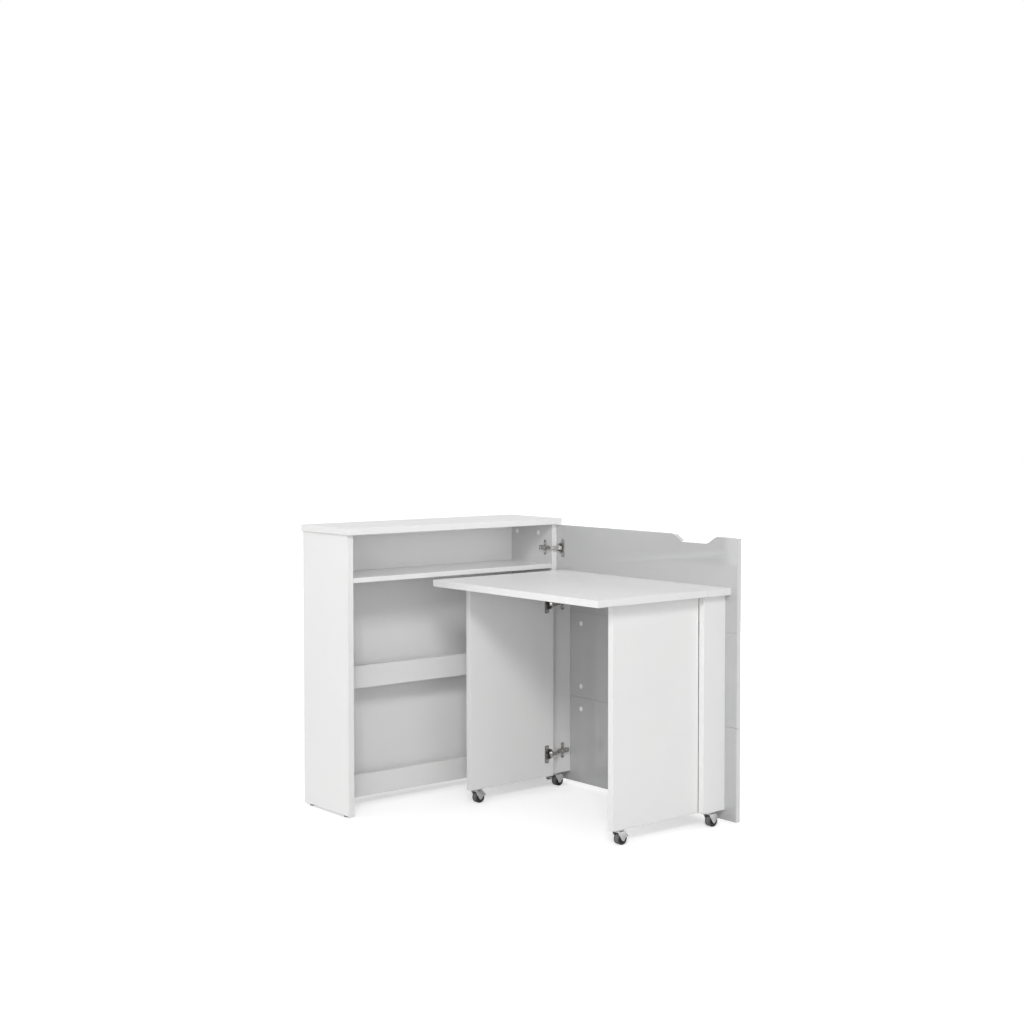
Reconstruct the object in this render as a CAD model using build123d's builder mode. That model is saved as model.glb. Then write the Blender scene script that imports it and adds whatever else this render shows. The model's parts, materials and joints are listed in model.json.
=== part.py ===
"""A cabinet desk: a shallow cabinet whose door carries a gate-leg folding table on casters.

Axes: X runs along the cabinet, +X to its right; the cabinet faces -Y; Z is up.
The origin is on the floor, in the middle of the open desk's bounding box.
Pose: door open at a right angle, table leaf up, both leg panels swung out under it.
"""
from build123d import *
import os

os.makedirs("parts", exist_ok=True)

# ---- driving dimensions, in millimetres ---------------------------------------------
overall_height = 945
carcass_width = 884
carcass_depth = 272
board = 22                      # side panels, top, table leaf, fins and legs
shelf_board = 16                # shelves, lips and back panel
door_board = 18
edge_radius = 0.8

top_side_overhang = 8
top_front_overhang = 20
glide_height = 7
glide_radius = 8
glide_inset = 32
back_recess = 28                # the back panel stands this far inside the rear edges

upper_shelf_height = 782        # top face
upper_shelf_setback = 3
pocket_lip_setback = 135        # front face of the two pocket-shelf lips
lip_height = 75
middle_lip_bottom = 396
bottom_lip_bottom = 29

door_reveal = 1.5               # carcass side to the open door's inner face
door_edge_gap = 1.5             # carcass front to the open door's hinge edge
door_width = 877.5
door_lap = 4.5                  # the hinge edge runs on past the carcass front, outside it
door_bottom = 13.5
door_top_gap = 2.5
board_joint_gap = 0.6           # fine line between the three boards of the door
notch_from_free_end = 191
notch_flat = 94
notch_slope = 60
notch_depth = 25.5

table_height = 761
table_end_overhang = 22         # past each fin's outer face
fin_offset = 49.5               # each end of the door to the fin's outer face
fin_width = 97
leg_length = 365
leg_side_gap = 1.5              # fin's inner face to the leg's outer face
leg_edge_gap = 1                # fin's free end to the leg's hinge edge
leg_top_gap = 0.8               # leg to leaf
leaf_front = 567                # door face to the leaf's free edge
seam_gap = 2.0
seam_from_door = 102.5          # door face to the middle of the seam

caster_height = 47
wheel_radius = 18
wheel_width = 24
caster_trail = 10
leg_caster_inset = 31
fin_caster_inset = 36

cup_radius = 17.5
cup_depth = 12
cup_edge_distance = 21.5        # board edge to the cup's axis
door_cup_edge_distance = 20.5
flange_thickness = 1.2
plate_setback = 37              # carcass front edge to the mounting plate's screws
arm_reach = 30                  # those screws to the pin at the tip of the hinge's arm
fit_gap = 0.05                  # radial clearance of a running fit

# ---- places worked out from them ----------------------------------------------------
overall_width = top_side_overhang + carcass_width + door_reveal + door_board
overall_depth = carcass_depth + door_edge_gap + door_width
left = top_side_overhang - overall_width / 2
right = left + carcass_width
front = overall_depth / 2 - carcass_depth
back = front + carcass_depth
inner_left, inner_right = left + board, right - board
carcass_top = overall_height - board
back_face = back - back_recess - shelf_board

door_face = right + door_reveal
door_end = front - door_edge_gap
door_hinge_edge = door_end + door_lap
door_free_end = door_end - door_width
door_top = carcass_top - door_top_gap
door_joint = (door_top - door_bottom) / 3

fin_end = door_face - fin_width
rear_fin_outer = door_end - fin_offset
rear_fin_inner = rear_fin_outer - board
front_fin_outer = door_free_end + fin_offset
front_fin_inner = front_fin_outer + board
desk_middle = (rear_fin_inner + front_fin_inner) / 2
table_underside = table_height - board
seam = door_face - seam_from_door
leaf_near, leaf_far = front_fin_outer - table_end_overhang, rear_fin_outer + table_end_overhang

leg_edge = fin_end - leg_edge_gap
leg_free_end = leg_edge - leg_length
rear_leg_outer = rear_fin_inner - leg_side_gap
rear_leg_inner = rear_leg_outer - board
front_leg_outer = front_fin_inner + leg_side_gap
front_leg_inner = front_leg_outer + board
leg_top = table_underside - leg_top_gap

door_hinge_heights = [door_bottom + 82, (door_bottom + door_top) / 2, door_top - 82]
leg_hinge_heights = [caster_height + 79, table_underside - 87]
door_cup_y = door_end - door_cup_edge_distance
leg_cup_x = leg_edge - cup_edge_distance

# Each leg turns about an upright line half the edge gap out from its fin's end and as far
# off the leg's outer face, which carries it from under the leaf to flush between the fins.


def save(piece, name):
    """Label one finished sub-part and write it as its own STEP file."""
    piece.part.label = name
    export_step(piece.part, f"parts/{name}.step")


def block(x_low, x_high, y_low, y_high, z_low, z_high, mode=Mode.ADD):
    """A box by its limits, inside the sub-part that is being built."""
    middle = ((x_low + x_high) / 2, (y_low + y_high) / 2, (z_low + z_high) / 2)
    with Locations(middle):
        Box(x_high - x_low, y_high - y_low, z_high - z_low, mode=mode)


def drill(start, direction, radius, depth):
    """A round hole from a point along a direction."""
    with BuildSketch(Plane(origin=start, z_dir=direction)) as profile:
        Circle(radius)
    extrude(profile.sketch, amount=depth, mode=Mode.SUBTRACT)


def rod(start, direction, radius, length):
    """A round bar from a point along a direction."""
    with BuildSketch(Plane(origin=start, z_dir=direction)) as profile:
        Circle(radius)
    extrude(profile.sketch, amount=length)


def soften(piece, radius=edge_radius):
    """Round every edge of a plain board, as its edging is."""
    fillet(piece.edges(), radius)


# ---- joint fittings: where they sit --------------------------------------------------
cam_radius, cam_depth, cam_setback = 7.5, 12.5, 34
bolt_radius = 3.5
dowel_radius, dowel_half = 4, 13
cap_radius, cap_thickness = 8.5, 1.2

top_cam_places = [(side, inner, front + y) for y in (76, 196)
                  for side, inner in ((1, inner_left), (-1, inner_right))]
door_joints = [door_bottom + door_joint, door_bottom + 2 * door_joint]
door_cam_setback = 40
door_cam_columns = [rear_fin_inner - 58, front_fin_inner + 58]

shelf_levels = {
    "upper_shelf": upper_shelf_height - shelf_board,
    "middle_shelf": middle_lip_bottom,
    "bottom_shelf": bottom_lip_bottom,
}
pocket_back_of_lip = front + pocket_lip_setback + shelf_board
carcass_dowel_places = []
for shelf_name, bottom in shelf_levels.items():
    depths = (55, 175) if shelf_name == "upper_shelf" else (170, 210)
    for depth in depths:
        carcass_dowel_places.append((front + depth, bottom + shelf_board / 2))
for lip_bottom in (middle_lip_bottom, bottom_lip_bottom):
    carcass_dowel_places.append((front + pocket_lip_setback + 8, lip_bottom + 55))
for height in (140, 520, 880):
    carcass_dowel_places.append((back_face + shelf_board / 2, height))


def carcass_dowel_holes():
    """Blind holes for the dowels between the side panels and what they carry."""
    for y, z in carcass_dowel_places:
        drill((inner_left - dowel_half, y, z), (1, 0, 0), dowel_radius, 2 * dowel_half)
        drill((inner_right + dowel_half, y, z), (-1, 0, 0), dowel_radius, 2 * dowel_half)


# ---- the cabinet ----------------------------------------------------------------------
for name, inner, outer, direction in (
    ("left_side_panel", inner_left, left, -1),
    ("right_side_panel", inner_right, right, 1),
):
    with BuildPart() as side_panel:
        block(min(inner, outer), max(inner, outer), front, back, glide_height, carcass_top)
        soften(side_panel)
        carcass_dowel_holes()
        for side, face, y in top_cam_places:
            cam_height = carcass_top - cam_setback
            drill((face, y, cam_height), (-side, 0, 0), cam_radius, cam_depth)
            middle_of_board = face - side * cam_depth / 2
            drill((middle_of_board, y, carcass_top), (0, 0, -1), bolt_radius, cam_setback)
        if name == "right_side_panel":
            for z in door_hinge_heights:
                for offset in (-16, 16):
                    screw = (inner_right, front + plate_setback, z + offset)
                    drill(screw, (1, 0, 0), 2.5, 12)
    save(side_panel, name)

with BuildPart() as top_panel:
    block(left - top_side_overhang, right + top_side_overhang,
          front - top_front_overhang, back, carcass_top, overall_height)
    soften(top_panel, 1.5)
    for side, face, y in top_cam_places:
        drill((face - side * cam_depth / 2, y, carcass_top), (0, 0, 1), bolt_radius, 12)
save(top_panel, "top_panel")

with BuildPart() as back_panel:
    block(inner_left, inner_right, back_face, back_face + shelf_board,
          bottom_lip_bottom, carcass_top)
    carcass_dowel_holes()
save(back_panel, "back_panel")

for name, bottom in shelf_levels.items():
    shelf_front = pocket_back_of_lip
    if name == "upper_shelf":
        shelf_front = front + upper_shelf_setback
    with BuildPart() as shelf:
        block(inner_left, inner_right, shelf_front, back_face, bottom, bottom + shelf_board)
        if name == "upper_shelf":
            fillet(shelf.edges().filter_by(Axis.X).group_by(Axis.Y)[0], edge_radius)
        carcass_dowel_holes()
    save(shelf, name)

for name, bottom in (("middle_shelf_lip", middle_lip_bottom),
                     ("bottom_shelf_lip", bottom_lip_bottom)):
    lip_face = front + pocket_lip_setback
    with BuildPart() as lip:
        block(inner_left, inner_right, lip_face, lip_face + shelf_board,
              bottom, bottom + lip_height)
        fillet(lip.edges().filter_by(Axis.X), edge_radius)
        carcass_dowel_holes()
    save(lip, name)

with BuildPart() as carcass_dowels:
    for y, z in carcass_dowel_places:
        for x in (inner_left, inner_right):
            rod((x - dowel_half, y, z), (1, 0, 0), dowel_radius, 2 * dowel_half)
save(carcass_dowels, "carcass_dowels")

with BuildPart() as cabinet_glides:
    for x in (left + board / 2, right - board / 2):
        for y in (front + glide_inset, back - glide_inset):
            with BuildSketch(Plane(origin=(x, y, 0))) as profile:
                Circle(glide_radius)
            extrude(profile.sketch, amount=glide_height)
    fillet(cabinet_glides.edges().group_by(Axis.Z)[0], 1.5)
save(cabinet_glides, "cabinet_glides")

with BuildPart() as carcass_cam_fittings:
    for side, face, y in top_cam_places:
        cam_height = carcass_top - cam_setback
        bolt_x = face - side * cam_depth / 2
        rod((face - side * cap_thickness, y, cam_height), (-side, 0, 0),
            cam_radius, cam_depth - cap_thickness)
        rod((bolt_x, y, cam_height + cam_radius + 0.5), (0, 0, 1), bolt_radius,
            cam_setback - cam_radius + 11)
save(carcass_cam_fittings, "carcass_cam_fittings")

with BuildPart() as carcass_cam_caps:
    for side, face, y in top_cam_places:
        cap_middle = (face, y, carcass_top - cam_setback)
        rod(cap_middle, (side, 0, 0), cap_radius, cap_thickness)
        rod(cap_middle, (-side, 0, 0), cam_radius, cap_thickness)
save(carcass_cam_caps, "carcass_cam_caps")


# ---- the door: three boards, bolted edge to edge ----------------------------------------
def door_fitting_holes():
    """Cams and bolts on both sides of each joint, hinge cups and desk dowels."""
    for y in door_cam_columns:
        for joint in door_joints:
            for side in (-1, 1):
                cam_place = (door_face, y, joint + side * door_cam_setback)
                drill(cam_place, (1, 0, 0), cam_radius, cam_depth)
            drill((door_face + cam_depth / 2, y, joint - door_cam_setback), (0, 0, 1),
                  bolt_radius, 2 * door_cam_setback)
    for z in door_hinge_heights:
        drill((door_face, door_cup_y, z), (1, 0, 0), cup_radius, cup_depth)
    for y, z in desk_dowel_places:
        drill((door_face - dowel_half, y, z), (1, 0, 0), dowel_radius, dowel_half + 12)


rear_fin_middle = rear_fin_outer - board / 2
front_fin_middle = front_fin_outer + board / 2
strip_middle = table_height - board / 2
desk_dowel_places = [(y, z) for y in (rear_fin_middle, front_fin_middle)
                     for z in (95, 260, 440, 690)]
desk_dowel_places += [(y, strip_middle) for y in (rear_fin_middle - 120, desk_middle,
                                                   front_fin_middle + 120)]
door_plane = Plane(origin=(door_face, 0, 0), x_dir=(0, 1, 0), z_dir=(1, 0, 0))

for index, name in enumerate(("door_board_bottom", "door_board_middle", "door_board_top")):
    bottom = door_bottom + index * door_joint + (board_joint_gap / 2 if index else 0)
    top = door_bottom + (index + 1) * door_joint - (board_joint_gap / 2 if index < 2 else 0)
    with BuildPart() as door_piece:
        if name == "door_board_top":
            notch_middle = door_free_end + notch_from_free_end
            notch_floor = top - notch_depth
            inner_half = notch_flat / 2
            outer_half = inner_half + notch_slope
            with BuildSketch(door_plane) as profile:
                with BuildLine():
                    Polyline((door_hinge_edge, top), (door_hinge_edge, bottom), (door_free_end, bottom),
                             (door_free_end, top), (notch_middle - outer_half, top))
                    Spline((notch_middle - outer_half, top),
                           (notch_middle - inner_half - notch_slope / 2, top - notch_depth / 2),
                           (notch_middle - inner_half, notch_floor),
                           tangents=[(1, 0), (1, 0)], tangent_scalars=[1, 1])
                    Line((notch_middle - inner_half, notch_floor),
                         (notch_middle + inner_half, notch_floor))
                    Spline((notch_middle + inner_half, notch_floor),
                           (notch_middle + inner_half + notch_slope / 2, top - notch_depth / 2),
                           (notch_middle + outer_half, top),
                           tangents=[(1, 0), (1, 0)], tangent_scalars=[1, 1])
                    Line((notch_middle + outer_half, top), (door_hinge_edge, top))
                make_face()
            extrude(profile.sketch, amount=door_board)
        else:
            block(door_face, door_face + door_board, door_free_end, door_hinge_edge, bottom, top)
            soften(door_piece, 0.5)
        door_fitting_holes()
    save(door_piece, name)

with BuildPart() as door_cam_fittings:
    for y in door_cam_columns:
        for joint in door_joints:
            bolt_start = joint - door_cam_setback + cam_radius + 0.5
            rod((door_face + cam_depth / 2, y, bolt_start), (0, 0, 1), bolt_radius,
                2 * (door_cam_setback - cam_radius - 0.5))
            for side in (-1, 1):
                cam_place = (door_face + cap_thickness, y, joint + side * door_cam_setback)
                rod(cam_place, (1, 0, 0), cam_radius, cam_depth - cap_thickness)
save(door_cam_fittings, "door_cam_fittings")

with BuildPart() as door_cam_caps:
    for y in door_cam_columns:
        for joint in door_joints:
            for side in (-1, 1):
                cap_middle = (door_face, y, joint + side * door_cam_setback)
                rod(cap_middle, (-1, 0, 0), cap_radius, cap_thickness)
                rod(cap_middle, (1, 0, 0), cam_radius, cap_thickness)
save(door_cam_caps, "door_cam_caps")

# ---- the fixed part of the desk ---------------------------------------------------------
fin_top_dowels = [(x, y) for x in (fin_end + 28, door_face - 28)
                  for y in (rear_fin_middle, front_fin_middle)]


def desk_dowel_holes():
    """Holes for the dowels into the door and between the fins and the top strip."""
    for y, z in desk_dowel_places:
        drill((door_face - dowel_half, y, z), (1, 0, 0), dowel_radius, dowel_half + 12)
    for x, y in fin_top_dowels:
        drill((x, y, table_underside - dowel_half), (0, 0, 1), dowel_radius, 2 * dowel_half)


for name, low, high, inner, inward in (
    ("rear_fin_panel", rear_fin_inner, rear_fin_outer, rear_fin_inner, 1),
    ("front_fin_panel", front_fin_outer, front_fin_inner, front_fin_inner, -1),
):
    with BuildPart() as fin:
        block(fin_end, door_face, low, high, caster_height, table_underside)
        soften(fin)
        desk_dowel_holes()
        for z in leg_hinge_heights:
            for offset in (-16, 16):
                screw = (fin_end + board + plate_setback, inner, z + offset)
                drill(screw, (0, inward, 0), 2.5, 12)
    save(fin, name)

# ---- leaf hinges: three small butt hinges let into the undersides ------------------------
flap_length = 50
flap_reach = 24
flap_thickness = 1.2
barrel_radius = 2.2
leaf_pin_radius = 1.0
seam_chamfer = 2.5
leaf_hinge_places = [desk_middle - 230, desk_middle, desk_middle + 230]
barrel_height = table_underside + barrel_radius
knuckle = flap_length / 5


def leaf_hinge_mortises():
    """Recesses for the flaps and for the barrel that lies in the seam."""
    for y in leaf_hinge_places:
        block(seam - flap_reach, seam + flap_reach, y - flap_length / 2, y + flap_length / 2,
              table_underside, table_underside + flap_thickness, Mode.SUBTRACT)
        block(seam - barrel_radius - 0.5, seam + barrel_radius + 0.5,
              y - flap_length / 2 - 0.5, y + flap_length / 2 + 0.5,
              table_underside, barrel_height + barrel_radius + 0.5, Mode.SUBTRACT)


with BuildPart() as fixed_top_strip:
    block(seam + seam_gap / 2, door_face, leaf_near, leaf_far, table_underside, table_height)
    seam_face_edges = fixed_top_strip.edges().filter_by(Axis.Y).group_by(Axis.X)[0]
    chamfer(seam_face_edges.sort_by(Axis.Z)[0], seam_chamfer)
    fillet(seam_face_edges.sort_by(Axis.Z)[1], 0.5)
    leaf_hinge_mortises()
    desk_dowel_holes()
save(fixed_top_strip, "fixed_top_strip")

with BuildPart() as desk_dowels:
    for y, z in desk_dowel_places:
        rod((door_face - dowel_half, y, z), (1, 0, 0), dowel_radius, dowel_half + 12)
    for x, y in fin_top_dowels:
        rod((x, y, table_underside - dowel_half), (0, 0, 1), dowel_radius, 2 * dowel_half)
save(desk_dowels, "desk_dowels")


def leaf_hinge_flaps(side, knuckles):
    """Flaps on one side of the seam, each with its own knuckles round the pin."""
    for y in leaf_hinge_places:
        flap_near, flap_far = seam + side * (barrel_radius + 0.4), seam + side * flap_reach
        block(min(flap_near, flap_far), max(flap_near, flap_far),
              y - flap_length / 2, y + flap_length / 2,
              table_underside, table_underside + flap_thickness)
        for place in knuckles:
            middle = y + (place - 2) * knuckle
            low, high = middle - knuckle / 2 + 0.15, middle + knuckle / 2 - 0.15
            rod((seam, low, barrel_height), (0, 1, 0), barrel_radius, high - low)
            block(min(seam, flap_near), max(seam, flap_near), low, high,
                  table_underside, table_underside + flap_thickness)


with BuildPart() as leaf_hinge_fixed_flaps:
    leaf_hinge_flaps(1, (0, 2, 4))
    for y in leaf_hinge_places:
        drill((seam, y - flap_length / 2, barrel_height), (0, 1, 0), leaf_pin_radius, flap_length)
save(leaf_hinge_fixed_flaps, "leaf_hinge_fixed_flaps")

with BuildPart() as leaf_hinge_moving_flaps:
    leaf_hinge_flaps(-1, (1, 3))
    for y in leaf_hinge_places:
        drill((seam, y - flap_length / 2, barrel_height), (0, 1, 0),
              leaf_pin_radius + fit_gap, flap_length)
save(leaf_hinge_moving_flaps, "leaf_hinge_moving_flaps")

with BuildPart() as table_leaf:
    block(door_face - leaf_front, seam - seam_gap / 2, leaf_near, leaf_far,
          table_underside, table_height)
    seam_face_edges = table_leaf.edges().filter_by(Axis.Y).group_by(Axis.X)[-1]
    chamfer(seam_face_edges.sort_by(Axis.Z)[0], seam_chamfer)
    rounded = table_leaf.edges().group_by(Axis.X)[0] + table_leaf.edges().filter_by(Axis.X)
    fillet(rounded, 1.2)
    leaf_hinge_mortises()
save(table_leaf, "table_leaf")

# ---- the two leg panels -------------------------------------------------------------------
for name, low, high, inner, inward in (
    ("rear_leg_panel", rear_leg_inner, rear_leg_outer, rear_leg_inner, 1),
    ("front_leg_panel", front_leg_outer, front_leg_inner, front_leg_inner, -1),
):
    with BuildPart() as leg:
        block(leg_free_end, leg_edge, low, high, caster_height, leg_top)
        soften(leg)
        for z in leg_hinge_heights:
            drill((leg_cup_x, inner, z), (0, inward, 0), cup_radius, cup_depth)
    save(leg, name)


# ---- concealed cup hinges -------------------------------------------------------------------
# Each is drawn in its own plane: local x runs from the carried board's free side towards
# the carrying board, local y up, local z out of the carried board's inner face.
ear_offset = 9.5
ear_height = 62
ear_width = 18
rim_radius = 19


def cup(place):
    """A stamped cup let into its board, its rim, and the upright flange with two ears."""
    with BuildSketch(place) as profile:
        Circle(rim_radius)
        with Locations((-ear_offset, 0)):
            RectangleRounded(ear_width, ear_height, 4)
        Circle(cup_radius - 1.2, mode=Mode.SUBTRACT)
    extrude(profile.sketch, amount=flange_thickness)
    with BuildSketch(place) as profile:
        Circle(cup_radius)
        Circle(cup_radius - 1.2, mode=Mode.SUBTRACT)
    extrude(profile.sketch, amount=-cup_depth)
    with BuildSketch(place.offset(-cup_depth)) as profile:
        Circle(cup_radius)
    extrude(profile.sketch, amount=1.2)
    for ear in (-1, 1):
        with BuildSketch(place.offset(flange_thickness)) as profile:
            with Locations((-ear_offset, ear * 24)):
                Circle(3.4)
        extrude(profile.sketch, amount=0.8)


plate_base = 2.5
plate_length, plate_body = 46, 14
wing_height, wing_width = 52, 11
arm_height = 13
arm_rise = 11.5
cheek_plate = 1.8
link_height = 8.4
link_plate = 2.4
link_pin_radius = 1.5
link_pin_height = 13            # carrying board's face to the pin at the arm's tip


def mounting_plate(place):
    """A cross-shaped plate; local x runs from its screws towards the hinge's front."""
    with BuildSketch(place) as profile:
        SlotOverall(plate_length, plate_body)
        RectangleRounded(wing_width, wing_height - 8, 3)
        for wing in (-1, 1):
            with Locations((0, wing * (wing_height / 2 - wing_width / 2))):
                Circle(wing_width / 2 + 1)
    extrude(profile.sketch, amount=plate_base)
    for wing in (-1, 1):
        screw = place.from_local_coords((0, wing * 16, 0))
        with BuildSketch(Plane(origin=screw, z_dir=place.z_dir)) as profile:
            Circle(2.5)
        extrude(profile.sketch, amount=plate_base, mode=Mode.SUBTRACT)


def plate_screws(place):
    """Two pan-head screws through the wings of a mounting plate."""
    for wing in (-1, 1):
        head_seat = place.from_local_coords((0, wing * 16, plate_base))
        inwards = (-place.z_dir.X, -place.z_dir.Y, -place.z_dir.Z)
        outwards = (place.z_dir.X, place.z_dir.Y, place.z_dir.Z)
        rod(head_seat, inwards, 2.5, plate_base + 12)
        rod(head_seat, outwards, 4, 1.5)


def plan(place):
    """Plan view of one hinge: x into the carrying board from its end, y off its face."""
    return Plane(origin=place["corner"], x_dir=place["into"],
                 z_dir=Vector(*place["into"]).cross(Vector(*place["off"])))


def hinge_arm(place):
    """A folded arm on its mounting plate: two cheeks, a web, and eyes for the link's pin."""
    pin_at = place["screws_at"] - arm_reach
    tail = place["screws_at"] + 26
    for side in (-1, 1):
        cheek_plane = plan(place).offset(side * (arm_height / 2 - cheek_plate / 2))
        with BuildSketch(cheek_plane) as profile:
            with BuildLine():
                Polyline((tail, plate_base), (tail, 9), (tail - 5, arm_rise),
                         (pin_at + 9, arm_rise), (pin_at, link_pin_height + 3.8),
                         (pin_at - 3.2, link_pin_height - 2), (pin_at + 4, plate_base),
                         close=True)
            make_face()
            with Locations((pin_at, link_pin_height)):
                Circle(3.8)
                Circle(link_pin_radius, mode=Mode.SUBTRACT)
        extrude(profile.sketch, amount=cheek_plate / 2, both=True)
    with BuildSketch(plan(place)) as profile:
        with Locations(((pin_at + 9 + tail - 5) / 2, arm_rise - 0.8)):
            Rectangle(tail - 5 - pin_at - 9, 1.6)
    extrude(profile.sketch, amount=arm_height / 2 - cheek_plate / 2, both=True)


def arm_pin(place):
    """The pin in the tip of a hinge arm."""
    pin_at = place["screws_at"] - arm_reach
    with BuildSketch(plan(place)) as profile:
        with Locations((pin_at, link_pin_height)):
            Circle(link_pin_radius)
    extrude(profile.sketch, amount=arm_height / 2 + 0.3, both=True)


def leg_hinge_link(place):
    """The cranked link of a leg hinge, from the arm's pin over the board's edge to the cup."""
    pin_at = place["screws_at"] - arm_reach
    with BuildSketch(plan(place)) as profile:
        with BuildLine():
            FilletPolyline((pin_at, link_pin_height), (20, 24), (4, 29.6), (-11, 29.8), (-18, 21),
                           radius=5)
        trace(line_width=link_plate)
        with Locations((pin_at, link_pin_height)):
            Circle(3.5)
            Circle(link_pin_radius + fit_gap, mode=Mode.SUBTRACT)
    extrude(profile.sketch, amount=link_height / 2, both=True)
    with BuildSketch(plan(place)) as profile:
        with BuildLine():
            FilletPolyline((17, 25.05), (4, 29.6), (-11, 29.8), (-18, 21), radius=5)
        trace(line_width=link_plate)
    extrude(profile.sketch, amount=arm_height / 2, both=True)


def door_hinge_link(place):
    """The link of a door hinge, from the cup round the side panel's edge to below the arm's pin.
    It is as tall as the arm up to the place where it goes in between the arm's cheeks."""
    for height, last_points in ((arm_height, [(-8.6, 2.4)]), (link_height, [(-6, 8.5), (2, 9.8)])):
        with BuildSketch(plan(place)) as profile:
            with BuildLine():
                FilletPolyline((-22, -34.3), (-22, -27), (-14, -18), (-10.5, -2), *last_points,
                               radius=3)
            trace(line_width=link_plate)
        extrude(profile.sketch, amount=height / 2, both=True)


door_hinges = [{"corner": (inner_right, front, z), "into": (0, 1, 0), "off": (-1, 0, 0),
                "screws_at": plate_setback,
                "cup": Plane(origin=(door_face, door_cup_y, z), x_dir=(0, 1, 0), z_dir=(-1, 0, 0)),
                "plate": Plane(origin=(inner_right, front + plate_setback, z),
                               x_dir=(0, 1, 0), z_dir=(-1, 0, 0))}
               for z in door_hinge_heights]


def leg_hinge_set(fin_inner, leg_inner, off):
    """The two hinges between one fin and its leg."""
    return [{"corner": (fin_end, fin_inner, z), "into": (1, 0, 0), "off": off,
             "screws_at": board + plate_setback,
             "cup": Plane(origin=(leg_cup_x, leg_inner, z), x_dir=(1, 0, 0), z_dir=off),
             "plate": Plane(origin=(fin_end + board + plate_setback, fin_inner, z),
                            x_dir=(1, 0, 0), z_dir=off)}
            for z in leg_hinge_heights]


rear_leg_hinges = leg_hinge_set(rear_fin_inner, rear_leg_inner, (0, -1, 0))
front_leg_hinges = leg_hinge_set(front_fin_inner, front_leg_inner, (0, 1, 0))
both_leg_hinges = rear_leg_hinges + front_leg_hinges

for name, shape, key, places in (
    ("door_hinge_plates", mounting_plate, "plate", door_hinges),
    ("door_hinge_screws", plate_screws, "plate", door_hinges),
    ("door_hinge_arms", hinge_arm, None, door_hinges),
    ("door_hinge_pins", arm_pin, None, door_hinges),
    ("door_hinge_cups", cup, "cup", door_hinges),
    ("door_hinge_links", door_hinge_link, None, door_hinges),
    ("leg_hinge_plates", mounting_plate, "plate", both_leg_hinges),
    ("leg_hinge_screws", plate_screws, "plate", both_leg_hinges),
    ("leg_hinge_arms", hinge_arm, None, both_leg_hinges),
    ("rear_leg_hinge_cups", cup, "cup", rear_leg_hinges),
    ("front_leg_hinge_cups", cup, "cup", front_leg_hinges),
    ("rear_leg_hinge_links", leg_hinge_link, None, rear_leg_hinges),
    ("front_leg_hinge_links", leg_hinge_link, None, front_leg_hinges),
):
    with BuildPart() as hinge_pieces:
        for place in places:
            shape(place[key] if key else place)
    save(hinge_pieces, name)

with BuildPart() as desk_hinge_pins:
    for place in both_leg_hinges:
        arm_pin(place)
    for y in leaf_hinge_places:
        rod((seam, y - flap_length / 2, barrel_height), (0, 1, 0), leaf_pin_radius, flap_length)
save(desk_hinge_pins, "desk_hinge_pins")


# ---- casters ------------------------------------------------------------------------------
plate_thickness = 3
caster_plate_length, caster_plate_width = 40, 20
boss_radius, boss_depth = 8, 2
kingpin_radius, kingpin_head_radius, kingpin_head = 3, 4.5, 1.5
crown_bottom, crown_top = 39.5, 41.7
axle_radius = 2.5
hub_radius = 13
hub_width = 22
cheek_inner, cheek_outer = 12.8, 14.4
hood_inner, hood_outer = 20.2, 21.8

rear_leg_middle = rear_leg_outer - board / 2
front_leg_middle = front_leg_outer + board / 2
caster_places = {
    "rear_leg": (leg_free_end + leg_caster_inset, rear_leg_middle),
    "front_leg": (leg_free_end + leg_caster_inset, front_leg_middle),
    "rear_fin": (fin_end + fin_caster_inset, rear_fin_middle),
    "front_fin": (fin_end + fin_caster_inset, front_fin_middle),
}


def caster_plate(x, y):
    """A top plate with the swivel's boss and its headed kingpin."""
    with BuildSketch(Plane(origin=(x, y, caster_height))) as profile:
        RectangleRounded(caster_plate_length, caster_plate_width, 4)
    extrude(profile.sketch, amount=-plate_thickness)
    boss_top = caster_height - plate_thickness
    rod((x, y, boss_top), (0, 0, -1), boss_radius, boss_depth)
    rod((x, y, boss_top), (0, 0, -1), kingpin_radius, boss_top - crown_bottom + 0.3)
    rod((x, y, crown_bottom - 0.3), (0, 0, -1), kingpin_head_radius, kingpin_head)


for name, corners in (("rear_leg_caster_plate", ["rear_leg"]),
                      ("front_leg_caster_plate", ["front_leg"]),
                      ("fin_caster_plates", ["rear_fin", "front_fin"])):
    with BuildPart() as plates:
        for corner in corners:
            caster_plate(*caster_places[corner])
    save(plates, name)

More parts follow.
